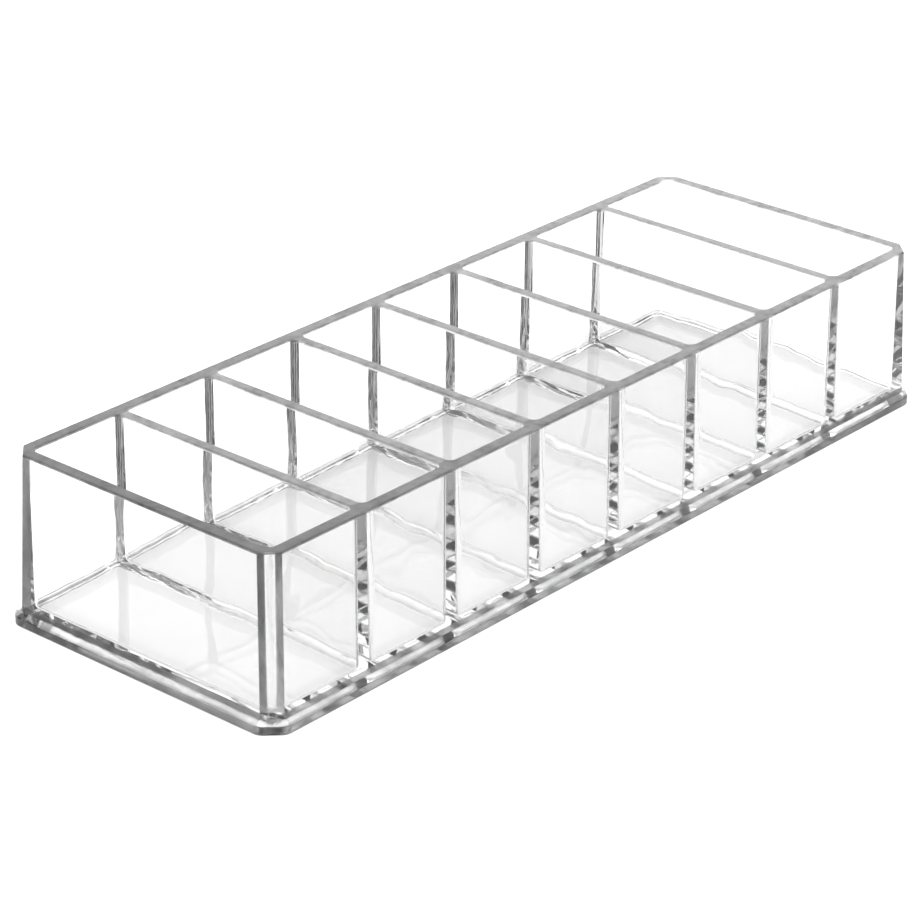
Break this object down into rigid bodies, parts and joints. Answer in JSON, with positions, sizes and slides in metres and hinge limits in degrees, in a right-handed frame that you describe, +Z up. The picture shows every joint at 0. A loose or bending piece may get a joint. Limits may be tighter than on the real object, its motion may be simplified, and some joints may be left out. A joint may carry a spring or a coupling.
{
  "type": "vanity organizer",
  "caption": "Clear open-topped divided tray with chamfered corners, a bevelled base and fixed cross dividers, for standing compacts and small cosmetics on edge.",
  "frame": {"origin": "centre of the footprint, on the surface that the tray stands on", "axes": "+X along the tray across its compartments, -Y towards the front long wall, +Z up out of the compartments"},
  "size_m": [0.254, 0.09, 0.0446],
  "materials": {
    "clear_acrylic": "clear, colourless, polished"
  },
  "bodies": {
    "root": {"base_plate": "clear_acrylic", "front_wall": "clear_acrylic", "rear_wall": "clear_acrylic", "left_end_wall": "clear_acrylic", "right_end_wall": "clear_acrylic", "divider_1": "clear_acrylic", "divider_2": "clear_acrylic", "divider_3": "clear_acrylic", "divider_4": "clear_acrylic", "divider_5": "clear_acrylic", "divider_6": "clear_acrylic", "divider_7": "clear_acrylic"}
  },
  "joints": []
}
